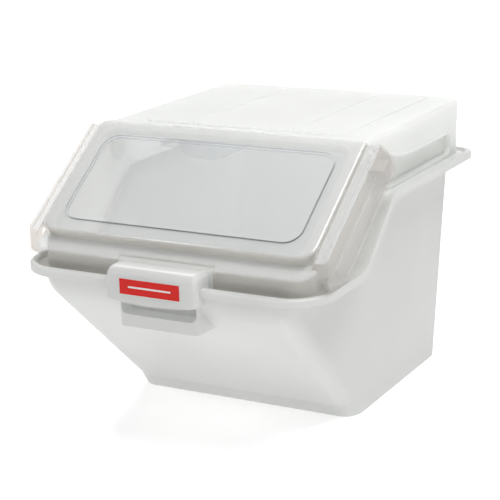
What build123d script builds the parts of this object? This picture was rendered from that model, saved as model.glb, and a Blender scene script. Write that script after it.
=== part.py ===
"""A shelf ingredient bin: a sloped-front tub, a hooded lid with a window, and a clear tilting door.

Millimetres. X runs to the right, Y to the rear and Z up. The origin is on the floor, under the
middle of the bin. The door, the lid and the scoop are shown closed and in place.
"""

import os
from math import cos, radians, sin, tan

from build123d import *

os.makedirs("parts", exist_ok=True)

# Overall size
length = 615
width = 488
height = 429
half_width = width / 2
half_length = length / 2

# Walls and clearances
tub_wall = 3
lid_wall = 3
door_wall = 2.5
running_gap = 0.5
seat_gap = 0.3
reach = 2 * length

# Tub base, drafted walls and sloped front
base_side_inset = 57
base_front_inset = 257.5
base_rear_inset = 26.5
base_half_width = half_width - base_side_inset
base_front_y = base_front_inset - half_length
base_rear_y = half_length - base_rear_inset
wall_draft = 2.86
foot_height = 22
foot_lean = 14
front_slope = 42.8
front_wall_y = 21.5 - half_length
front_bend_radius = 60
foot_bend_radius = 8
tub_corner_radius = 26
base_edge_radius = 5
mouth_front_y = front_wall_y + 34

# Rim line, seen from the side: high along the flanks and the rear, low in front
rim_high_drop = 83
rim_low_drop = 173
rim_bend_inset = 283.5
rim_high_z = height - rim_high_drop
rim_low_z = height - rim_low_drop
rim_bend_y = rim_bend_inset - half_length
rim_slope = 42
rim_bend_radius = 42
rim_height = 11
rim_edge_bevel = 2
rim_front_y = 12.5 - half_length
rim_rear_y = half_length
rim_front_corner = 74
rim_rear_corner = 34
channel_depth = 6
channel_side_inset = 10
channel_front_inset = 14
channel_rear_inset = 4.5
channel_front_corner = 52
channel_rear_corner = 28
upstand_height = 12

# Pull block, finger recess and the chin under it
pull_width = 144
pull_top_z = rim_low_z + 21
pull_bottom_z = rim_low_z - 23
pull_bottom_sag = 6
pull_front_round = 16
pull_rear_round = 6
pull_side_round = 8
pull_back_y = rim_front_y + 25
pull_skin = 5
recess_width = 122
recess_corner = 10
recess_back_y = rim_front_y + 33
recess_drop = 51
recess_bottom_z = rim_low_z - recess_drop
chin_front_y = rim_front_y + 7
chin_drop = 69
chin_bottom_z = rim_low_z - chin_drop
chin_corner = 8
label_width = 96
label_height = 22
label_thickness = 0.4
label_centre_z = rim_low_z - 4

# Slope of the lid's frame and of the door over it
crease_inset = 231.5
crease_y = crease_inset - half_length
door_slope = 35
arm_side_inset = 1
arm_half_width = half_width - arm_side_inset
arm_band_width = 9
groove_width = 12
groove_depth = 8
skirt_front_y = rim_front_y + 29
pad_end_gap = 14
pad_length = round((crease_y - skirt_front_y) / cos(radians(door_slope))) - pad_end_gap
pad_half_width = arm_half_width - arm_band_width - groove_width
pad_height = 16
pad_corner_radius = 26
pad_edge_round = 13
skirt_floor_gap = 1
skirt_depth = 44
skirt_half_width = half_width - 12
skirt_corner_radius = 34
ledge_edge_round = 8
notch_clearance = 5
notch_depth = 8

# Window and the door's raised panel
window_half_width = pad_half_width - 20
window_top = 9
window_bottom = pad_length - 7
window_corner = 18
panel_half_width = window_half_width - 10
panel_top = 28
panel_end_gap = 23
panel_bottom = pad_length - panel_end_gap
panel_corner = 26
panel_rise = 3
window_wall_depth = 14

# Lid hood
hood_half_width = pad_half_width - door_wall - running_gap - lid_wall
hood_top_z = height - 2.5
hood_front_y = crease_y + 12
hood_rear_y = rim_rear_y - 5
hood_edge_round = 7
hood_corner_radius = 22
lid_front_corner = 36
rear_lip_height = 34
rear_lip_proud = 4.5
field_half_width = hood_half_width - 48
field_front_y = hood_front_y + 20
field_rear_y = hood_rear_y - 14
field_rise = 1.5
field_corner = 20
top_rib_x = 84
top_rib_width = 5
top_rib_front_y = field_front_y + 14
crease_tab_width = 150
crease_tab_x = -22
crease_tab_front_y = crease_y + 5.7
crease_tab_thickness = 4

# Door arms, pivots and the lid's tracks
arm_wall = 2.5
arm_front_y = skirt_front_y + 18
arm_bottom_z = rim_low_z + 4
arm_top_depth = 4
arm_bottom_depth = 73
arm_rear = 20
arm_rear_depth = 48
arm_heel = 14
arm_corner = 12
arm_rib_depth = 40
arm_rib_start = 49
arm_rib_length = pad_length - 62
arm_rib_middle = arm_rib_start + arm_rib_length / 2
arm_rib_width = 18
pivot_depth = 54
track_depth = 7.5
track_width = 32
track_rise = 10
track_rear_inset = 48.5
track_rear_y = hood_rear_y - track_rear_inset
track_end_radius = 12
track_low_front_y = crease_y + 78
track_rise_start_y = crease_y + 154
track_rise_end_y = crease_y + 106
pocket_radius = 17.5
track_lip_width = 4
track_lip_proud = 1.4
guide_length = 22
guide_width = 15
guide_floor_gap = 1.5
guide_flange_rim = 2
guide_flange_thickness = 3

# Scoop and its rails under the hood
scoop_side_inset = 88
scoop_x = scoop_side_inset - hood_half_width
scoop_width = 92
scoop_bowl_length = 125
scoop_bowl_depth = 52
scoop_handle_length = 92
scoop_handle_width = 26
scoop_wall = 2
scoop_front_y = hood_front_y + 28
scoop_rim_width = 6
scoop_bowl_round = 30
scoop_grip_depth = 11
rail_length = 46
rail_ledge = 6
rail_thickness = 3
rail_drop = 26
rail_front_y = scoop_front_y + 24


def plan(half_x, front_y, rear_y, front_radius, rear_radius):
    """A rounded rectangle seen from above."""
    with BuildSketch() as outline:
        with Locations((0, (front_y + rear_y) / 2)):
            Rectangle(2 * half_x, rear_y - front_y)
        fillet(outline.vertices().group_by(Axis.Y)[0], front_radius)
        fillet(outline.vertices().group_by(Axis.Y)[-1], rear_radius)
    return outline.sketch


def column(outline):
    """An upright prism of a plan outline, taller than the bin."""
    with BuildPart() as prism:
        extrude(outline, amount=reach)
    return prism.part


def under_rim(rise):
    """The space under the rim's top line, moved up by rise."""
    run = (rim_high_z - rim_low_z) / tan(radians(rim_slope))
    with BuildSketch(Plane.YZ) as side:
        with BuildLine():
            line = FilletPolyline(
                (-reach, rim_low_z + rise),
                (rim_bend_y - run, rim_low_z + rise),
                (rim_bend_y, rim_high_z + rise),
                (reach, rim_high_z + rise),
                radius=rim_bend_radius,
            )
            Polyline(line @ 1, (reach, -reach), (-reach, -reach), line @ 0)
        make_face()
    with BuildPart() as space:
        extrude(side.sketch, amount=reach, both=True)
    return space.part


def tub_form(inset, front_limit_y):
    """The tub's drafted body, closed at the top, drawn in by inset on every wall."""
    lean = tan(radians(wall_draft))
    foot_top_y = base_front_y - foot_lean
    slope_end_z = foot_height + (foot_top_y - front_wall_y) * tan(radians(front_slope))
    with BuildSketch(Plane.YZ) as side:
        with BuildLine():
            Polyline(
                (base_front_y, 0),
                (foot_top_y, foot_height),
                (front_wall_y, slope_end_z),
                (front_wall_y, height),
                (base_rear_y + lean * height, height),
                (base_rear_y, 0),
                close=True,
            )
        make_face()
        if inset:
            offset(amount=-inset, kind=Kind.INTERSECTION, mode=Mode.REPLACE)
        with Locations((front_limit_y, 0)):
            Rectangle(3 * reach, 3 * reach, align=(Align.MIN, Align.CENTER), mode=Mode.INTERSECT)
        bend = side.vertices().filter_by_position(Axis.Y, foot_height, height - tub_wall - 1)
        fillet(bend.sort_by(Axis.Y)[-1], front_bend_radius - inset)
        fillet(bend.sort_by(Axis.Y)[0], foot_bend_radius)
    with BuildSketch(Plane.XZ) as front:
        with BuildLine():
            Polyline(
                (-base_half_width, 0),
                (base_half_width, 0),
                (base_half_width + lean * height, height),
                (-base_half_width - lean * height, height),
                close=True,
            )
        make_face()
        if inset:
            offset(amount=-inset, kind=Kind.INTERSECTION, mode=Mode.REPLACE)
    with BuildPart() as body:
        extrude(side.sketch, amount=reach, both=True)
        extrude(front.sketch, amount=reach, both=True, mode=Mode.INTERSECT)
        sides = body.faces().filter_by(lambda face: abs(face.normal_at().X) > 0.9)
        upright = sides.edges().filter_by_position(Axis.Z, foot_height / 3, height - 2 * inset - 1)
        fillet(upright, tub_corner_radius - inset)
    return body.part


slope = Plane(
    origin=(0, crease_y, height),
    x_dir=(1, 0, 0),
    z_dir=(0, -sin(radians(door_slope)), cos(radians(door_slope))),
)
lid_inset = door_wall + running_gap
lid_front_y = skirt_front_y + lid_inset
skirt_bottom_z = rim_low_z - channel_depth + skirt_floor_gap


def slope_point(along, depth):
    """The point seen from the side at a distance up the slope from the crease and a depth under it."""
    fall = radians(door_slope)
    return (
        crease_y + along * cos(fall) + depth * sin(fall),
        height + along * sin(fall) - depth * cos(fall),
    )


pivot_y, pivot_z = slope_point(0, pivot_depth)


def channel_plan(margin):
    """The rim's inner channel seen from above, grown by margin."""
    return plan(
        half_width - channel_side_inset + margin,
        rim_front_y + channel_front_inset - margin,
        rim_rear_y - channel_rear_inset + margin,
        channel_front_corner + margin,
        channel_rear_corner + margin,
    )


def below_slope(depth):
    """The space under the slope plane moved down by depth."""
    with BuildPart(slope.offset(-depth)) as space:
        Box(2 * reach, 2 * reach, reach, align=(Align.CENTER, Align.CENTER, Align.MAX))
    return space.part


def before_crease():
    """The space in front of the crease, square to the slope."""
    with BuildPart(slope) as space:
        Box(2 * reach, reach, 2 * reach, align=(Align.CENTER, Align.MAX, Align.CENTER))
    return space.part


def pad(inset, depth):
    """The raised block on the slope, drawn in by inset and level behind the crease."""
    with BuildSketch(slope.offset(-depth)) as outline:
        with Locations((0, inset - pad_length)):
            Rectangle(
                2 * (pad_half_width - inset),
                pad_length + pad_height,
                align=(Align.CENTER, Align.MIN),
            )
        fillet(outline.vertices().group_by(Axis.Y)[0], pad_corner_radius - inset)
    level = height - inset * cos(radians(door_slope))
    with BuildPart() as block:
        extrude(outline.sketch, amount=depth - inset)
        top = block.faces().sort_by(Axis.Z)[-1]
        rear = top.edges().sort_by(Axis.Y)[-1]
        fillet(top.edges().filter_by(lambda edge: edge != rear), pad_edge_round - inset)
        with Locations((0, 0, level)):
            Box(reach, 2 * reach, reach, align=(Align.CENTER, Align.CENTER, Align.MAX), mode=Mode.INTERSECT)
    return block.part


def skirt(inset, bottom_z):
    """The front part under the ledge, with round plan corners, drawn in by inset."""
    outline = plan(skirt_half_width - inset, skirt_front_y + inset, 0, skirt_corner_radius - inset, 1)
    with BuildPart() as block:
        add(column(outline))
        add(below_slope(pad_height + inset), mode=Mode.INTERSECT)
        with Locations((0, skirt_front_y + skirt_depth, bottom_z)):
            Box(reach, reach, reach, align=(Align.CENTER, Align.MAX, Align.MIN), mode=Mode.INTERSECT)
        ledge = block.faces().sort_by(Axis.Z)[-1]
        rear = ledge.edges().sort_by(Axis.Y)[-1]
        fillet(ledge.edges().filter_by(lambda edge: edge != rear), ledge_edge_round - inset)
    return block.part


def hood(inset):
    """The lid's body: hood, ledge and front skirt, drawn in by inset."""
    ledge_y, ledge_z = slope_point(0, pad_height + lid_inset)
    fall = tan(radians(door_slope))
    with BuildSketch(Plane.YZ) as side:
        with BuildLine():
            Polyline(
                (hood_rear_y, 0),
                (hood_rear_y, hood_top_z),
                (hood_front_y, hood_top_z),
                (hood_front_y, ledge_z + (hood_front_y - ledge_y) * fall),
                (lid_front_y, ledge_z + (lid_front_y - ledge_y) * fall),
                (lid_front_y, 0),
                close=True,
            )
        make_face()
        if inset:
            offset(amount=-inset, kind=Kind.INTERSECTION, mode=Mode.REPLACE)
    outline = plan(
        hood_half_width - inset,
        lid_front_y + inset,
        hood_rear_y - inset,
        lid_front_corner - inset,
        hood_corner_radius - inset,
    )
    with BuildPart() as body:
        extrude(side.sketch, amount=reach, both=True)
        add(column(outline), mode=Mode.INTERSECT)
        top = body.faces().sort_by(Axis.Z)[-1]
        front = top.edges().sort_by(Axis.Y)[0]
        outline = top.edges().filter_by(lambda edge: edge != front)
        if inset:
            chamfer(outline, hood_edge_round - inset)
        else:
            fillet(outline, hood_edge_round)
        face = body.faces().sort_by(Axis.Y)[0]
        chamfer(face.edges().sort_by(Axis.Z)[-1], ledge_edge_round - lid_inset - inset)
    return body.part


def track(margin):
    """The lid's side track: a long slot that rises at its front end to a round pocket."""
    track_high_z = rim_high_z + track_width
    pocket_low = radians(-70)
    pocket_high = radians(80)
    with BuildSketch(Plane.YZ) as outline:
        with BuildLine():
            Polyline(
                (track_rear_y, rim_high_z),
                (track_low_front_y, rim_high_z),
                (pivot_y + pocket_radius * cos(pocket_low), pivot_z + pocket_radius * sin(pocket_low)),
                (pivot_y, pivot_z),
                (pivot_y + pocket_radius * cos(pocket_high), pivot_z + pocket_radius * sin(pocket_high)),
                (track_rise_end_y, track_high_z + track_rise),
                (track_rise_start_y, track_high_z),
                (track_rear_y, track_high_z),
                close=True,
            )
        make_face()
        fillet(outline.vertices().group_by(Axis.X)[-1], track_end_radius)
        with Locations((pivot_y, pivot_z)):
            Circle(pocket_radius)
        if margin:
            offset(amount=margin, kind=Kind.INTERSECTION, mode=Mode.REPLACE)
    return outline.sketch


def arm(inset):
    """The door arm's outline from the side: a deep bar along the slope with a round rear end."""
    fall = tan(radians(door_slope))
    top_y, top_z = slope_point(0, arm_top_depth)
    low_y, low_z = slope_point(0, arm_bottom_depth)
    with BuildSketch(Plane.YZ) as side:
        with BuildLine():
            Polyline(
                (top_y, top_z),
                (arm_front_y, top_z + (arm_front_y - top_y) * fall),
                (arm_front_y, arm_bottom_z),
                (low_y + (arm_bottom_z - low_z) / fall, arm_bottom_z),
                slope_point(arm_heel, arm_bottom_depth),
                slope_point(arm_rear, arm_rear_depth),
                close=True,
            )
        make_face()
        corners = side.vertices().sort_by(Axis.X)
        fillet(corners[:3] + corners[-2:], arm_corner)
        if inset:
            offset(amount=-inset, mode=Mode.REPLACE)
    return side.sketch


def both_sides(outline, inner_x, outer_x):
    """A side outline drawn out between two distances from the middle, right and left."""
    with BuildPart() as pair:
        extrude(outline.moved(Location((inner_x, 0, 0))), amount=outer_x - inner_x, dir=(1, 0, 0))
        mirror(about=Plane.YZ)
    return pair.part


def box_between(low, high):
    """A block between two corners."""
    with BuildPart() as block:
        with Locations(low):
            Box(high[0] - low[0], high[1] - low[1], high[2] - low[2], align=Align.MIN)
    return block.part


def label_plate():
    """The label's place, flush in the pull's front."""
    return box_between(
        (-label_width / 2, -half_length, label_centre_z - label_height / 2),
        (label_width / 2, -half_length + label_thickness, label_centre_z + label_height / 2),
    )


def opening(half_x, low_z, high_z, radius, front_y, back_y):
    """A rounded opening seen from the front, as a block between two depths."""
    with BuildSketch(Plane.XZ.offset(-back_y)) as outline:
        with Locations((0, (low_z + high_z) / 2)):
            RectangleRounded(2 * half_x, high_z - low_z, radius)
    with BuildPart() as block:
        extrude(outline.sketch, amount=back_y - front_y)
    return block.part


# Tub: drafted body, rim with its inner channel, upstand, pull and finger recess
tub_outer = tub_form(0, -reach)
tub_inner = tub_form(tub_wall, -reach)
mouth = tub_form(tub_wall, mouth_front_y)
upstand_form = tub_form(0, mouth_front_y - tub_wall)
channel_underside = rim_low_z - channel_depth - tub_wall


def slope_front_y(z):
    """Where the tub's sloped front stands at a height."""
    return base_front_y - foot_lean - (z - foot_height) / tan(radians(front_slope))


def rim():
    """The rolled rim: top plate, outer edge and the inner channel's trough."""
    inner_plan = plan(
        half_width - tub_wall,
        rim_front_y + tub_wall,
        rim_rear_y - tub_wall,
        rim_front_corner - tub_wall,
        rim_rear_corner - tub_wall,
    )
    with BuildPart() as trough:
        add(column(channel_plan(tub_wall)))
        add(under_rim(-channel_depth - tub_wall), mode=Mode.SUBTRACT)
    with BuildPart() as hollow:
        add(column(inner_plan))
        add(under_rim(-tub_wall), mode=Mode.INTERSECT)
        add(trough.part, mode=Mode.SUBTRACT)
    with BuildPart() as band:
        add(column(plan(half_width, rim_front_y, rim_rear_y, rim_front_corner, rim_rear_corner)))
        add(under_rim(0), mode=Mode.INTERSECT)
        line = band.edges().filter_by_position(Axis.Z, rim_low_z - 1, rim_high_z + 1)
        folds = line.filter_by(Axis.X).sort_by(Axis.Y)[1:-1]
        chamfer(line.filter_by(lambda edge: edge not in folds), rim_edge_bevel)
        add(under_rim(-rim_height), mode=Mode.SUBTRACT)
        add(hollow.part, mode=Mode.SUBTRACT)
    return band.part


def channel():
    """The groove in the rim's top that takes the lid's lower edge."""
    with BuildPart() as groove:
        add(column(channel_plan(0)))
        add(under_rim(-channel_depth), mode=Mode.SUBTRACT)
    return groove.part


def pull_form(half_x, inset, bottom_z):
    """The pull's side outline with its round top, drawn in by inset, across a width."""
    with BuildSketch(Plane.YZ) as side:
        with Locations((inset - half_length, pull_top_z - inset)):
            Rectangle(
                pull_back_y + half_length - 2 * inset,
                pull_top_z - inset - bottom_z,
                align=(Align.MIN, Align.MAX),
            )
        top = side.vertices().group_by(Axis.Y)[-1].sort_by(Axis.X)
        fillet(top[0], pull_front_round - inset)
        fillet(top[-1], pull_rear_round - inset)
    with BuildPart() as form:
        extrude(side.sketch, amount=half_x, both=True)
    return form.part


def pull():
    """The pull block in the middle of the front, with its round top and sagging lower edge."""
    half_pull = pull_width / 2
    with BuildSketch(Plane.XZ.offset(-pull_back_y)) as face:
        with BuildLine():
            Line((-half_pull, pull_bottom_z), (-half_pull, height))
            Line((-half_pull, height), (half_pull, height))
            Line((half_pull, height), (half_pull, pull_bottom_z))
            ThreePointArc(
                (half_pull, pull_bottom_z),
                (0, pull_bottom_z - pull_bottom_sag),
                (-half_pull, pull_bottom_z),
            )
        make_face()
    with BuildPart() as block:
        add(pull_form(half_pull, 0, pull_bottom_z - pull_bottom_sag - 1))
        for side in block.faces().filter_by(Axis.X):
            edges = side.edges().filter_by_position(Axis.Z, pull_bottom_z, height)
            fillet(edges.filter_by_position(Axis.Y, -reach, pull_back_y - 1), pull_side_round)
        extrude(face.sketch, amount=reach, mode=Mode.INTERSECT)
    return block.part


def chin():
    """The block under the pull that closes the finger recess at its sides and below."""
    inner_y = slope_front_y(chin_bottom_z)
    with BuildSketch(Plane.YZ) as side:
        with BuildLine():
            Polyline(
                (inner_y, chin_bottom_z),
                (inner_y, pull_bottom_z),
                (chin_front_y, pull_bottom_z),
                (chin_front_y, chin_bottom_z),
                close=True,
            )
        make_face()
    with BuildPart() as block:
        extrude(side.sketch, amount=recess_width / 2 + tub_wall, both=True)
        fillet(block.edges().filter_by(Axis.Z).group_by(Axis.Y)[0], chin_corner)
    return block.part


def tub_cavity():
    """The hollow of the tub, kept off the channel and off the finger recess."""
    recess_shell = box_between(
        (-recess_width / 2 - tub_wall, -reach, recess_bottom_z - tub_wall),
        (recess_width / 2 + tub_wall, recess_back_y + tub_wall, height),
    )
    with BuildPart() as hollow:
        add(tub_inner)
        add(under_rim(-channel_depth - tub_wall), mode=Mode.INTERSECT)
        add(recess_shell, mode=Mode.SUBTRACT)
        add(mouth)
    return hollow.part


with BuildPart() as tub:
    add(tub_outer)
    fillet(tub.edges().group_by(Axis.Z)[0], base_edge_radius)
    add(under_rim(-channel_depth), mode=Mode.INTERSECT)
    add(rim())
    add(channel(), mode=Mode.SUBTRACT)
    add(upstand_form.intersect(under_rim(upstand_height - channel_depth)))
    add(pull())
    add(chin())
    add(tub_cavity(), mode=Mode.SUBTRACT)
    add(
        opening(
            recess_width / 2,
            recess_bottom_z,
            channel_underside,
            recess_corner,
            -reach,
            recess_back_y,
        ).intersect(box_between((-reach, -half_length + pull_skin, 0), (reach, 0, height))),
        mode=Mode.SUBTRACT,
    )
    add(
        pull_form(recess_width / 2, pull_skin, recess_bottom_z + recess_corner),
        mode=Mode.SUBTRACT,
    )
    add(label_plate(), mode=Mode.SUBTRACT)

with BuildPart() as handle_label:
    add(label_plate())


# Lid: hood and sloped window frame in one moulding, with a track in each side
def window(margin, top_depth, bottom_depth):
    """A block through the slope between two depths, with the window's outline grown by margin."""
    with BuildSketch(slope.offset(-bottom_depth)) as outline:
        with Locations((0, -(window_top + window_bottom) / 2)):
            RectangleRounded(
                2 * (window_half_width + margin),
                window_bottom - window_top + 2 * margin,
                window_corner + margin,
            )
    with BuildPart() as block:
        extrude(outline.sketch, amount=bottom_depth - top_depth)
    return block.part


def frame_hollow():
    """The hollow under the raised frame, open to the hood inside its side walls."""
    frame_inset = lid_inset + lid_wall
    with BuildPart(slope.offset(-pad_height - lid_inset - 2 * lid_wall)) as well:
        with Locations((0, frame_inset - pad_length, 0)):
            Box(
                2 * (hood_half_width - lid_wall),
                pad_length - frame_inset,
                pad_height,
                align=(Align.CENTER, Align.MIN, Align.MIN),
            )
    with BuildPart() as hollow:
        add(pad(frame_inset, pad_height + lid_inset))
        add(well.part)
    return hollow.part


def top_field(inset, bottom_z):
    """The raised field on the hood's top, drawn in by inset."""
    with BuildSketch(Plane.XY.offset(bottom_z)) as outline:
        with Locations((0, field_front_y + inset)):
            Rectangle(
                2 * (field_half_width - inset),
                field_rear_y - field_front_y - 2 * inset,
                align=(Align.CENTER, Align.MIN),
            )
        fillet(outline.vertices(), field_corner - inset)
    with BuildPart() as field:
        extrude(outline.sketch, amount=hood_top_z + field_rise - inset - bottom_z)
    return field.part


def top_ribs():
    """Two narrow ribs with round tops along the raised field."""
    rib_length = field_rear_y - top_rib_front_y - (top_rib_front_y - field_front_y)
    rib_rise = height - hood_top_z - field_rise
    with BuildSketch(Plane.XZ.offset(-top_rib_front_y - rib_length)) as outline:
        with Locations((-top_rib_x, height), (top_rib_x, height)):
            Rectangle(top_rib_width, lid_wall + rib_rise, align=(Align.CENTER, Align.MAX))
        fillet(outline.vertices().group_by(Axis.Y)[-1], rib_rise)
    with BuildPart() as ribs:
        extrude(outline.sketch, amount=rib_length)
    return ribs.part


def rear_lip():
    """The lip that stands out along the top of the hood's rear."""
    outline = plan(
        hood_half_width,
        0,
        hood_rear_y + rear_lip_proud,
        hood_corner_radius,
        hood_corner_radius,
    )
    with BuildPart() as lip:
        add(column(outline))
        add(
            box_between((-reach, -reach, hood_top_z - rear_lip_height), (reach, reach, hood_top_z)),
            mode=Mode.INTERSECT,
        )
        fillet(lip.faces().sort_by(Axis.Z)[-1].edges(), hood_edge_round)
    return lip.part


def scoop_rails():
    """Two L-shaped rails under the hood that carry the scoop's handle."""
    rail_inner_x = scoop_handle_width / 2 + running_gap
    low_z = hood_top_z - lid_wall - rail_drop
    with BuildSketch(Plane.XZ.offset(-rail_front_y - rail_length)) as outline:
        with BuildLine():
            Polyline(
                (rail_inner_x + rail_thickness, hood_top_z),
                (rail_inner_x + rail_thickness, low_z),
                (rail_inner_x - rail_ledge, low_z),
                (rail_inner_x - rail_ledge, low_z + rail_thickness),
                (rail_inner_x, low_z + rail_thickness),
                (rail_inner_x, hood_top_z),
                close=True,
            )
        make_face()
        mirror(about=Plane.YZ)
    with BuildPart() as rails:
        extrude(outline.sketch, amount=rail_length)
    return rails.part.moved(Location((scoop_x, 0, 0)))


with BuildPart() as lid:
    add(hood(0))
    add(rear_lip())
    add(pad(lid_inset, pad_height + lid_inset + lid_wall))
    add(
        box_between(
            (crease_tab_x - crease_tab_width / 2, crease_tab_front_y, height - crease_tab_thickness),
            (crease_tab_x + crease_tab_width / 2, hood_front_y + lid_wall, height),
        )
    )
    add(top_field(0, hood_top_z - 1))
    add(top_ribs())
    add(hood(lid_wall), mode=Mode.SUBTRACT)
    add(top_field(lid_wall, hood_top_z - lid_wall - 1), mode=Mode.SUBTRACT)
    add(frame_hollow(), mode=Mode.SUBTRACT)
    add(window(door_wall, lid_inset, lid_inset + window_wall_depth))
    add(window(0, 0, 2 * window_wall_depth), mode=Mode.SUBTRACT)
    add(both_sides(track(lid_wall), hood_half_width - track_depth - lid_wall, hood_half_width - 1))
    add(both_sides(track(track_lip_width), hood_half_width - 1, hood_half_width + track_lip_proud))
    add(both_sides(track(0), hood_half_width - track_depth, half_width), mode=Mode.SUBTRACT)
    add(scoop_rails())
    add(under_rim(seat_gap - channel_depth), mode=Mode.SUBTRACT)

# Door: clear pad, front skirt and an arm on each side
def door_panel(margin, low, high):
    """The raised panel in the middle of the door, between two heights over the slope."""
    with BuildSketch(slope.offset(low)) as outline:
        with Locations((0, -(panel_top + panel_bottom) / 2)):
            RectangleRounded(
                2 * (panel_half_width + margin),
                panel_bottom - panel_top + 2 * margin,
                panel_corner + margin,
            )
    with BuildPart() as panel:
        extrude(outline.sketch, amount=high - low)
    return panel.part


def groove(margin):
    """The groove between the pad and each arm's outer band, grown by margin."""
    with BuildPart(slope) as block:
        with Locations((pad_half_width - margin, 0, -groove_depth - margin)):
            Box(groove_width + 2 * margin, reach, reach, align=(Align.MIN, Align.CENTER, Align.MIN))
        mirror(about=Plane.YZ)
    return block.part


def arm_trays(inset, inner_x):
    """Both arms as blocks with the groove cut into them, drawn in by inset."""
    with BuildPart() as trays:
        add(both_sides(arm(inset), inner_x, arm_half_width - inset))
        add(groove(inset), mode=Mode.SUBTRACT)
    return trays.part


def arm_ribs():
    """The broad straight rib on the outside of each arm."""
    with BuildSketch(Plane.YZ.offset(arm_half_width)) as outline:
        with Locations(Location(slope_point(-arm_rib_middle, arm_rib_depth), door_slope)):
            Rectangle(arm_rib_length, arm_rib_width)
    with BuildPart() as ribs:
        extrude(outline.sketch, amount=arm_side_inset)
        mirror(about=Plane.YZ)
    return ribs.part


arm_inner_x = pad_half_width - door_wall

with BuildPart() as door:
    add(pad(0, pad_height + door_wall))
    add(before_crease(), mode=Mode.INTERSECT)
    add(skirt(0, skirt_bottom_z))
    add(arm_trays(0, arm_inner_x))
    add(pad(door_wall, pad_height + 2 * door_wall), mode=Mode.SUBTRACT)
    add(skirt(door_wall, skirt_bottom_z - 1), mode=Mode.SUBTRACT)
    add(arm_trays(arm_wall, arm_inner_x - 1), mode=Mode.SUBTRACT)
    add(door_panel(0, -door_wall, panel_rise))
    add(door_panel(-door_wall, -door_wall - 1, panel_rise - door_wall), mode=Mode.SUBTRACT)
    add(arm_ribs())
    add(
        box_between(
            (-pull_width / 2 - notch_clearance, -reach, 0),
            (pull_width / 2 + notch_clearance, skirt_front_y + notch_depth, pull_top_z + notch_clearance),
        ),
        mode=Mode.SUBTRACT,
    )


# Guide shoes: one pressed into each arm, turning in the track's pocket
def guide_outline():
    """The shoe's long round-ended outline at the pivot, in line with the slope."""
    with BuildSketch(Plane.YZ.offset(guide_inner_x)) as outline:
        with Locations(Location((pivot_y, pivot_z), door_slope)):
            SlotOverall(guide_length, guide_width)
    return outline.sketch


guide_inner_x = hood_half_width - track_depth + guide_floor_gap
guide_outer_x = arm_half_width - arm_wall
flange_x = hood_half_width + track_lip_proud + guide_floor_gap

with BuildPart() as right_guide:
    extrude(guide_outline(), amount=flange_x - guide_inner_x)
    with Locations(Location((flange_x, pivot_y, pivot_z), (door_slope, 0, 0))):
        Box(
            guide_flange_thickness,
            guide_length + 2 * guide_flange_rim,
            guide_width + 2 * guide_flange_rim,
            align=(Align.MIN, Align.CENTER, Align.CENTER),
        )
        Box(
            guide_outer_x - flange_x,
            guide_length,
            guide_width,
            align=(Align.MIN, Align.CENTER, Align.CENTER),
        )

with BuildPart() as left_guide:
    add(mirror(right_guide.part, about=Plane.YZ))


# Scoop: open bowl with a flat rim, and a handle whose flange rides on the lid's rails
def scoop_bowl(inset):
    """The scoop's bowl, drawn in by inset, with its rear end cut open at a slant."""
    top_z = scoop_rim_z
    with BuildSketch(Plane.XZ.offset(-bowl_rear_y)) as outline:
        with Locations((scoop_x, top_z - scoop_bowl_depth / 2 + inset / 2)):
            Rectangle(scoop_width - 2 * inset, scoop_bowl_depth - inset)
        fillet(outline.vertices().group_by(Axis.Y)[0], scoop_bowl_round - inset)
    with BuildPart() as bowl:
        extrude(outline.sketch, amount=scoop_bowl_length - inset)
        front = bowl.faces().sort_by(Axis.Y)[0]
        chamfer(front.edges().sort_by(Axis.Z)[:-1], scoop_bowl_round / 2 - inset)
    return bowl.part


scoop_handle_rear_y = scoop_front_y + scoop_handle_length
bowl_rear_y = scoop_handle_rear_y + scoop_bowl_length
flange_z = hood_top_z - lid_wall - rail_drop + rail_thickness + seat_gap
scoop_rim_z = flange_z - rail_thickness - 2 * seat_gap

def scoop_plate(width_x, front_y, rear_y, low_z, high_z):
    """A flat piece of the scoop, centred on its own middle line."""
    return box_between(
        (scoop_x - width_x / 2, front_y, low_z),
        (scoop_x + width_x / 2, rear_y, high_z),
    )


rail_rear_y = rail_front_y + rail_length
grip_inner_width = scoop_handle_width - 2 * scoop_wall
grip_web_width = scoop_handle_width - 2 * rail_ledge - 2 * running_gap

with BuildPart() as scoop:
    add(scoop_bowl(0))
    add(
        scoop_plate(
            scoop_width + 2 * scoop_rim_width,
            scoop_handle_rear_y,
            bowl_rear_y - scoop_rim_width,
            scoop_rim_z - scoop_wall,
            scoop_rim_z,
        )
    )
    add(
        scoop_plate(
            scoop_handle_width,
            scoop_front_y,
            scoop_handle_rear_y + scoop_wall,
            scoop_rim_z - scoop_grip_depth,
            scoop_rim_z,
        )
    )
    add(
        scoop_plate(
            grip_inner_width,
            scoop_front_y + scoop_wall,
            scoop_handle_rear_y,
            scoop_rim_z - scoop_grip_depth,
            scoop_rim_z - scoop_wall,
        ),
        mode=Mode.SUBTRACT,
    )
    add(scoop_bowl(scoop_wall), mode=Mode.SUBTRACT)
    add(scoop_plate(grip_web_width, rail_front_y, rail_rear_y - 2, scoop_rim_z, flange_z))
    add(scoop_plate(scoop_handle_width, rail_front_y, rail_rear_y - 2, flange_z, flange_z + scoop_wall))

for piece, name in (
    (tub, "tub"),
    (handle_label, "handle_label"),
    (lid, "lid"),
    (door, "door"),
    (left_guide, "left_guide"),
    (right_guide, "right_guide"),
    (scoop, "scoop"),
):
    piece.part.label = name
    export_step(piece.part, "parts/" + name + ".step")
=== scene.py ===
"""The looks of a shelf ingredient bin: milky tub and lid, clear door and scoop, on a pale floor.

Metres. X runs to the right, Y to the rear and Z up, with the origin on the floor under the bin.
"""

from math import cos, radians, sin

import bmesh
import bpy
from mathutils import Matrix, Vector


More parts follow.
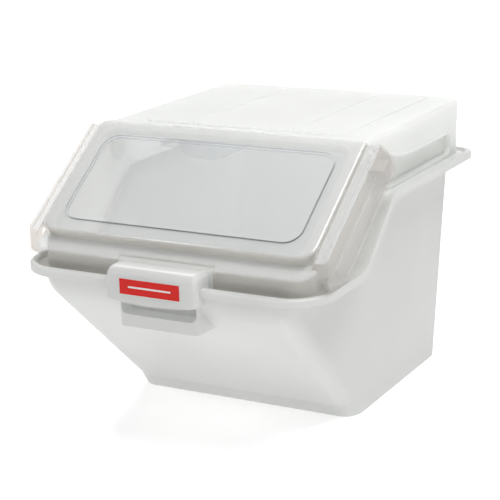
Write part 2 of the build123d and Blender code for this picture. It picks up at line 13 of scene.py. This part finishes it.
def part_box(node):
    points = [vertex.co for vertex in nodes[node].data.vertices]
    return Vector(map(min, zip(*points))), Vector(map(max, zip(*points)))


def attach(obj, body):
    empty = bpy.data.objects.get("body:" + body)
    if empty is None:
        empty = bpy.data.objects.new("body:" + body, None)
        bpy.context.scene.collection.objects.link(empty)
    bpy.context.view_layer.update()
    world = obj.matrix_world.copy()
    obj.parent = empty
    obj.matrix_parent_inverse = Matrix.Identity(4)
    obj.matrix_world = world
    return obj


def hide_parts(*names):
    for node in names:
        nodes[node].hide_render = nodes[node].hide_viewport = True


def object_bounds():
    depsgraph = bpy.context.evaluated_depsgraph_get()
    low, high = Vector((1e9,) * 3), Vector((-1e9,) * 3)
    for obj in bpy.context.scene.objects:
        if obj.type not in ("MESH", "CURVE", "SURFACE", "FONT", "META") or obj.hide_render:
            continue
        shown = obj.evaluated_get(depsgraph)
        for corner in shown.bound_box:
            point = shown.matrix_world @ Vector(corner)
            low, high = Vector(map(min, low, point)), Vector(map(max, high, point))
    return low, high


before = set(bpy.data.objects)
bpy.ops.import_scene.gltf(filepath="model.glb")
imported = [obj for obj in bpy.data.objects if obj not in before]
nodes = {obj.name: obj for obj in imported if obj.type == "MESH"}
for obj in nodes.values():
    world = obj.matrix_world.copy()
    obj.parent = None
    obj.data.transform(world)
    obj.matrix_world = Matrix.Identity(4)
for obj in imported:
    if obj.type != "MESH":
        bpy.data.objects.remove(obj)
cad_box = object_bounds()
scene = bpy.context.scene

MM = 0.001
x_axis = Vector((1, 0, 0))
z_axis = Vector((0, 0, 1))

# The camera's place, turn and lens, fitted to the photograph
camera_place = Vector((1.10835, -2.03961, 0.88297))
camera_azimuth = radians(28.686)
camera_elevation = radians(15.764)
camera_roll = radians(-1.565)
camera_lens = 113.24
camera_shift_x = -0.0024
camera_shift_y = 0.00096

# The slope that the lid's window frame and the door lie on falls to the front from a crease, which
# is this far behind the bin's front and as high as its top
slope_fall = radians(35)
crease_inset = 231.5 * MM
crease = Vector((0, cad_box[0].y + crease_inset, cad_box[1].z))
out_of_slope = Vector((0, -sin(slope_fall), cos(slope_fall)))
up_slope = Vector((0, cos(slope_fall), sin(slope_fall)))

# The raised frame: its middle, and how far out its front and side edges are looked for
frame_middle = crease - 109 * MM * up_slope
frame_edge_reach = 200 * MM

# The step round the door's raised panel, where a painted shade line goes, lies within these distances
# of the panel's middle
panel_middle = crease - 111 * MM * up_slope
panel_half_width = 200 * MM
panel_half_length = 95 * MM
panel_step_height = 4 * MM

# How much of a face's normal points out of the slope: at most for the step and for a wall, and at
# least for a level face
step_share = 0.5
wall_share = 0.1
level_share = 0.99

# Rounded edges: the face's depth under the slope, 1 if it looks out or -1 if in, and the radius
lid_rounds = [(3 * MM, 1, 3.5 * MM)]
door_rounds = [(0, 1, 6 * MM), (2.5 * MM, -1, 3.5 * MM)]
round_segments = 4
depth_slack = 0.2 * MM
weld_distance = 0.001 * MM
flat_angle = radians(0.5)
sharp_angle = radians(32)

# The label's white line, across and up from the label's middle
line_half_width = 34 * MM
line_half_height = 1.3 * MM

# The floor: to the eye it glows more from one distance to another, so that its far part is white
floor_reach = 20
glow_distances = (0.6, 2.6)
floor_glows = (0.5, 1)

# The noise's middle part, which is spread over a whole drift
noise_span = (0.3, 0.7)

# The share of a clear face's normal that points up, from which the face has its level looks; faces
# that point less up get the painted shade tone of upright faces
fully_level = 0.8

# The clear plastic's gloss, seen straight on and at a slant
gloss_shares = (0.04, 0.9)
gloss_growth = 5
gloss_roughness = 0.12


# Camera

def add_camera():
    """The photograph's camera, from its place, turn and lens."""
    level_back = Vector((sin(camera_azimuth), -cos(camera_azimuth), 0))
    back = cos(camera_elevation) * level_back + sin(camera_elevation) * z_axis
    level_right = Vector((cos(camera_azimuth), sin(camera_azimuth), 0))
    level_up = back.cross(level_right)
    right = cos(camera_roll) * level_right + sin(camera_roll) * level_up
    up = back.cross(right)
    turn = Matrix((right, up, back)).transposed()
    data = bpy.data.cameras.new("camera")
    data.sensor_width = 36
    data.lens = camera_lens
    data.shift_x = camera_shift_x
    data.shift_y = camera_shift_y
    data.clip_start = 0.1
    data.clip_end = 50
    camera = bpy.data.objects.new("camera", data)
    camera.matrix_world = Matrix.Translation(camera_place) @ turn.to_4x4()
    scene.collection.objects.link(camera)
    scene.camera = camera


# Shader nodes

def new_material(name):
    """A material with its node tree, shader and output."""
    material = bpy.data.materials.new(name)
    material.use_nodes = True
    tree = material.node_tree
    return material, tree, tree.nodes["Principled BSDF"], tree.nodes["Material Output"]


def feed(tree, socket, value):
    """Links another node's output to a socket, or sets the socket to a plain value."""
    if isinstance(value, bpy.types.NodeSocket):
        tree.links.new(value, socket)
    else:
        socket.default_value = value


def calculate(tree, operation, *terms):
    """The result of a math node."""
    step = tree.nodes.new("ShaderNodeMath")
    step.operation = operation
    for socket, term in zip(step.inputs, terms):
        feed(tree, socket, term)
    return step.outputs["Value"]


def along(tree, vector, axis):
    """How far a vector reaches along an axis."""
    product = tree.nodes.new("ShaderNodeVectorMath")
    product.operation = "DOT_PRODUCT"
    product.inputs[1].default_value = axis
    tree.links.new(vector, product.inputs[0])
    return product.outputs["Value"]


def spread(tree, value, limits, results):
    """Maps a value from one span to another, held at both ends."""
    mapped = tree.nodes.new("ShaderNodeMapRange")
    mapped.inputs["From Min"].default_value = limits[0]
    mapped.inputs["From Max"].default_value = limits[1]
    feed(tree, mapped.inputs["To Min"], results[0])
    feed(tree, mapped.inputs["To Max"], results[1])
    tree.links.new(value, mapped.inputs["Value"])
    return mapped.outputs["Result"]


def noise(tree, scale, detail=2, roughness=0.5):
    """Noise in the object's own metres."""
    place = tree.nodes.new("ShaderNodeTexCoord")
    texture = tree.nodes.new("ShaderNodeTexNoise")
    texture.inputs["Scale"].default_value = scale
    texture.inputs["Detail"].default_value = detail
    texture.inputs["Roughness"].default_value = roughness
    tree.links.new(place.outputs["Object"], texture.inputs["Vector"])
    return texture.outputs["Fac"]


def drift(tree, value, results):
    """A number that drifts between two near ones with a noise."""
    return spread(tree, value, noise_span, results)


def tint(tree, value, tones):
    """A colour that drifts between two near tones with a noise."""
    ramp = tree.nodes.new("ShaderNodeValToRGB")
    for element, position, tone in zip(ramp.color_ramp.elements, noise_span, tones):
        element.position = position
        element.color = (*tone, 1)
    tree.links.new(value, ramp.inputs["Fac"])
    return ramp.outputs["Color"]


def blend(tree, share, first, second):
    """Two shaders mixed, with a share of the second."""
    mix = tree.nodes.new("ShaderNodeMixShader")
    feed(tree, mix.inputs["Fac"], share)
    tree.links.new(first, mix.inputs[1])
    tree.links.new(second, mix.inputs[2])
    return mix.outputs["Shader"]


def all_near(tree, reaches):
    """One where each vector lies within its reach of a middle along its axis, and nought elsewhere."""
    inside = None
    for vector, axis, middle, reach in reaches:
        near = calculate(tree, "COMPARE", along(tree, vector, axis), middle, reach)
        inside = near if inside is None else calculate(tree, "MULTIPLY", inside, near)
    return inside


# Plastics

def milky_plastic(name, tones, roughness, glow_share):
    """Moulded white plastic: fine grain, slow changes of tone, and light that passes the thin wall."""
    material, tree, shader, output = new_material(name)
    slow = noise(tree, scale=6, detail=3)
    colour = tint(tree, slow, tones)
    tree.links.new(colour, shader.inputs["Base Color"])
    tree.links.new(drift(tree, slow, roughness), shader.inputs["Roughness"])
    shader.inputs["IOR"].default_value = 1.5
    bump = tree.nodes.new("ShaderNodeBump")
    bump.inputs["Strength"].default_value = 0.04
    bump.inputs["Distance"].default_value = 0.4 * MM
    tree.links.new(noise(tree, scale=900, roughness=0.6), bump.inputs["Height"])
    tree.links.new(bump.outputs["Normal"], shader.inputs["Normal"])
    glow = tree.nodes.new("ShaderNodeBsdfTranslucent")
    tree.links.new(colour, glow.inputs["Color"])
    surface = blend(tree, glow_share, shader.outputs["BSDF"], glow.outputs["BSDF"])
    tree.links.new(surface, output.inputs["Surface"])
    return material


def clear_pane(tree, upward, upright_shade_tone, level_tone):
    """What is seen through, with painted shade that tones upright faces darker than level ones, under
    a gloss that grows at a slant.
    """
    # Painted shade: upright faces are toned a darker grey than level ones, for the shade seen behind
    # them
    tone = tree.nodes.new("ShaderNodeValToRGB")
    tone.color_ramp.elements[0].color = (*upright_shade_tone, 1)
    tone.color_ramp.elements[1].color = (*level_tone, 1)
    tree.links.new(upward, tone.inputs["Fac"])
    clear = tree.nodes.new("ShaderNodeBsdfTransparent")
    tree.links.new(tone.outputs["Color"], clear.inputs["Color"])
    gloss = tree.nodes.new("ShaderNodeBsdfGlossy")
    gloss.inputs["Roughness"].default_value = gloss_roughness
    slant = tree.nodes.new("ShaderNodeLayerWeight")
    slant.inputs["Blend"].default_value = 0.5
    steep = calculate(tree, "POWER", slant.outputs["Facing"], gloss_growth)
    share = spread(tree, steep, (0, 1), gloss_shares)
    return blend(tree, share, clear.outputs["BSDF"], gloss.outputs["BSDF"])


def clear_plastic(name, haze, upright_shade_tone, level_tone):
    """Clear moulded plastic with a faint milky haze, as (upright, level) shares, and painted shade
    that tones upright faces darker than level ones.
    """
    material, tree, shader, output = new_material(name)
    shader.inputs["Base Color"].default_value = (0.93, 0.94, 0.94, 1)
    shader.inputs["IOR"].default_value = 1.46
    tree.links.new(drift(tree, noise(tree, scale=9), (0.12, 0.18)), shader.inputs["Roughness"])
    place = tree.nodes.new("ShaderNodeTexCoord")
    upward = spread(tree, along(tree, place.outputs["Normal"], z_axis), (0, fully_level), (0, 1))
    pane = clear_pane(tree, upward, upright_shade_tone, level_tone)
    surface = blend(tree, spread(tree, upward, (0, 1), haze), pane, shader.outputs["BSDF"])
    tree.links.new(surface, output.inputs["Surface"])
    return material


def paint_panel_step_shade(material):
    """Paints shade on the step round the door's raised panel: a darker see-through tone on its walls,
    standing for the dark line a clear edge shows.
    """
    tree = material.node_tree
    output = tree.nodes["Material Output"]
    place = tree.nodes.new("ShaderNodeTexCoord")
    object_place = place.outputs["Object"]
    step_shade_mask = all_near(tree, (
        (place.outputs["Normal"], out_of_slope, 0, step_share),
        (object_place, out_of_slope, panel_middle.dot(out_of_slope), panel_step_height),
        (object_place, up_slope, panel_middle.dot(up_slope), panel_half_length),
        (object_place, x_axis, 0, panel_half_width),
    ))
    # Painted shade: a darker see-through tone on the step's walls
    painted_step_shade = tree.nodes.new("ShaderNodeBsdfTransparent")
    painted_step_shade.inputs["Color"].default_value = (0.62, 0.65, 0.68, 1)
    plain = output.inputs["Surface"].links[0].from_socket
    surface = blend(tree, step_shade_mask, plain, painted_step_shade.outputs["BSDF"])
    tree.links.new(surface, output.inputs["Surface"])


def label_print(name):
    """A plain red label with one thin blank white line."""
    material, tree, shader, output = new_material(name)
    low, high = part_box("handle_label")
    middle = (low + high) / 2
    place = tree.nodes.new("ShaderNodeTexCoord").outputs["Object"]
    on_line = all_near(tree, (
        (place, x_axis, middle.x, line_half_width),
        (place, z_axis, middle.z, line_half_height),
    ))
    red = tint(tree, noise(tree, scale=40), ((0.66, 0.013, 0.009), (0.7, 0.016, 0.011)))
    mix = tree.nodes.new("ShaderNodeMix")
    mix.data_type = "RGBA"
    mix.inputs["B"].default_value = (0.8, 0.8, 0.79, 1)
    tree.links.new(red, mix.inputs["A"])
    tree.links.new(on_line, mix.inputs["Factor"])
    tree.links.new(mix.outputs["Result"], shader.inputs["Base Color"])
    shader.inputs["Specular IOR Level"].default_value = 0.2
    tree.links.new(drift(tree, noise(tree, scale=300), (0.3, 0.4)), shader.inputs["Roughness"])
    return material


def dress(piece, material):
    """Gives a piece one material."""
    piece.data.materials.clear()
    piece.data.materials.append(material)


# Mouldings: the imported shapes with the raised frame's outer edges rounded

def is_frame_edge(edge, depth, facing):
    """Whether the frame's level face at a depth meets its front or side wall there."""
    if len(edge.link_faces) != 2:
        return False
    wall, level = sorted(edge.link_faces, key=lambda face: face.normal.dot(out_of_slope) * facing)
    middle = (edge.verts[0].co + edge.verts[1].co) / 2
    place = middle - crease
    is_level = level.normal.dot(out_of_slope) * facing > level_share
    is_upright = abs(wall.normal.dot(out_of_slope)) < wall_share
    at_depth = abs(place.dot(out_of_slope) + depth) < depth_slack
    at_front_or_side = abs(place.x) > frame_edge_reach or place.dot(up_slope) < -frame_edge_reach
    faces_away = wall.normal.dot(middle - frame_middle) * facing > 0
    return is_level and is_upright and at_depth and at_front_or_side and faces_away


def rounded_copy(node_name, body, rounds):
    """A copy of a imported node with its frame's edges rounded, standing for the node."""
    shape = bmesh.new()
    shape.from_mesh(nodes[node_name].data)
    bmesh.ops.remove_doubles(shape, verts=shape.verts, dist=weld_distance)
    bmesh.ops.dissolve_limit(shape, angle_limit=flat_angle, verts=shape.verts, edges=shape.edges)
    for depth, facing, radius in rounds:
        bmesh.ops.bevel(
            shape,
            geom=[edge for edge in shape.edges if is_frame_edge(edge, depth, facing)],
            offset=radius,
            offset_type="OFFSET",
            segments=round_segments,
            profile=0.5,
            affect="EDGES",
            clamp_overlap=False,
        )
    for face in shape.faces:
        face.smooth = True
    for edge in shape.edges:
        edge.smooth = len(edge.link_faces) == 2 and edge.calc_face_angle() < sharp_angle
    data = bpy.data.meshes.new(node_name + "_moulding")
    shape.to_mesh(data)
    shape.free()
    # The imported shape's own normals don't fit the rounded edges
    if "custom_normal" in data.attributes:
        data.attributes.remove(data.attributes["custom_normal"])
    piece = bpy.data.objects.new(node_name + "_moulding", data)
    scene.collection.objects.link(piece)
    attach(piece, body)
    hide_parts(node_name)
    return piece


# Studio: pale floor, white surroundings and soft lights

def seen_directly(tree, given, seen):
    """One value for light that falls on things, and another where a ray from the eye ends."""
    path = tree.nodes.new("ShaderNodeLightPath")
    glossy_or_clear = calculate(
        tree,
        "MAXIMUM",
        path.outputs["Is Glossy Ray"],
        path.outputs["Is Transmission Ray"],
    )
    from_eye = calculate(tree, "MAXIMUM", path.outputs["Is Camera Ray"], glossy_or_clear)
    return spread(tree, from_eye, (0, 1), (given, seen))


def add_floor(given):
    """A white floor that lights the bin from below, looks lit to the eye and keeps the shadow."""
    data = bpy.data.meshes.new("floor")
    corners = [
        (-floor_reach, -floor_reach, 0),
        (floor_reach, -floor_reach, 0),
        (floor_reach, floor_reach, 0),
        (-floor_reach, floor_reach, 0),
    ]
    data.from_pydata(corners, [], [(0, 1, 2, 3)])
    floor = bpy.data.objects.new("floor", data)
    scene.collection.objects.link(floor)
    material, tree, shader, output = new_material("floor_white")
    colour = tint(tree, noise(tree, scale=0.5), ((0.86, 0.86, 0.86), (0.88, 0.88, 0.88)))
    tree.links.new(colour, shader.inputs["Base Color"])
    shader.inputs["Roughness"].default_value = 0.9
    shader.inputs["Emission Color"].default_value = (1, 1, 1, 1)
    place = tree.nodes.new("ShaderNodeTexCoord")
    distance = tree.nodes.new("ShaderNodeVectorMath")
    distance.operation = "LENGTH"
    tree.links.new(place.outputs["Object"], distance.inputs[0])
    whiter = spread(tree, distance.outputs["Value"], glow_distances, floor_glows)
    tree.links.new(seen_directly(tree, given, whiter), shader.inputs["Emission Strength"])
    floor.data.materials.append(material)


def add_world(given):
    """White where the eye looks past the object, dimmer as a light."""
    world = bpy.data.worlds.new("studio")
    world.use_nodes = True
    scene.world = world
    background = world.node_tree.nodes["Background"]
    background.inputs["Color"].default_value = (1, 1, 1, 1)
    strength = seen_directly(world.node_tree, given, 1)
    world.node_tree.links.new(strength, background.inputs["Strength"])


def add_light(name, place, aim, size, watts):
    """A soft rectangular lamp that looks at a point."""
    data = bpy.data.lights.new(name, "AREA")
    data.shape = "RECTANGLE"
    data.size, data.size_y = size
    data.energy = watts
    light = bpy.data.objects.new(name, data)
    light.location = place
    light.rotation_euler = (Vector(aim) - Vector(place)).to_track_quat("-Z", "Y").to_euler()
    scene.collection.objects.link(light)


scene.view_settings.view_transform = "Standard"
add_camera()
add_world(given=0.2)
add_floor(given=0.52)
add_light("upper_left", place=(-1.2, 1.45, 2.2), aim=(0, 0, 0.35), size=(0.9, 0.9), watts=27)
add_light("upper_right", place=(0.9, -0.3, 2.5), aim=(0, 0, 0.3), size=(1.4, 1.4), watts=43)
add_light("front_edges", place=(-1.2, -1.65, 1.75), aim=(0, -0.2, 0.3), size=(0.25, 0.25), watts=4)
add_light("right_low", place=(2.4, -0.3, 0.35), aim=(0, 0, 0.15), size=(1.4, 0.6), watts=1)

lid_moulding = rounded_copy("lid", "lid_body", lid_rounds)
door_moulding = rounded_copy("door", "door_body", door_rounds)

tub_tones = ((0.82, 0.825, 0.815), (0.85, 0.855, 0.845))
lid_tones = ((0.93, 0.935, 0.925), (0.95, 0.955, 0.945))
guide_tones = ((0.8, 0.8, 0.8), (0.84, 0.84, 0.84))
guide_white = milky_plastic("guide_white", guide_tones, roughness=(0.3, 0.4), glow_share=0.05)
# The door's upright faces get a warm-grey painted shade tone, its level faces a pale bluish clear tone
door_clear = clear_plastic(
    "door_clear",
    haze=(0.05, 0.27),
    upright_shade_tone=(0.88, 0.865, 0.85),
    level_tone=(0.98, 0.99, 1),
)
# The scoop's upright faces get a slightly darker painted shade tone than its level faces
scoop_clear = clear_plastic(
    "scoop_clear",
    haze=(0.1, 0.14),
    upright_shade_tone=(0.9, 0.91, 0.92),
    level_tone=(0.96, 0.97, 0.98),
)
# Painted shade line on the step round the door's raised panel
paint_panel_step_shade(door_clear)

dress(nodes["tub"], milky_plastic("tub_white", tub_tones, roughness=(0.3, 0.36), glow_share=0.42))
dress(lid_moulding, milky_plastic("lid_white", lid_tones, roughness=(0.2, 0.26), glow_share=0.55))
dress(door_moulding, door_clear)
dress(nodes["scoop"], scoop_clear)
dress(nodes["left_guide"], guide_white)
dress(nodes["right_guide"], guide_white)
dress(nodes["handle_label"], label_print("label_print"))
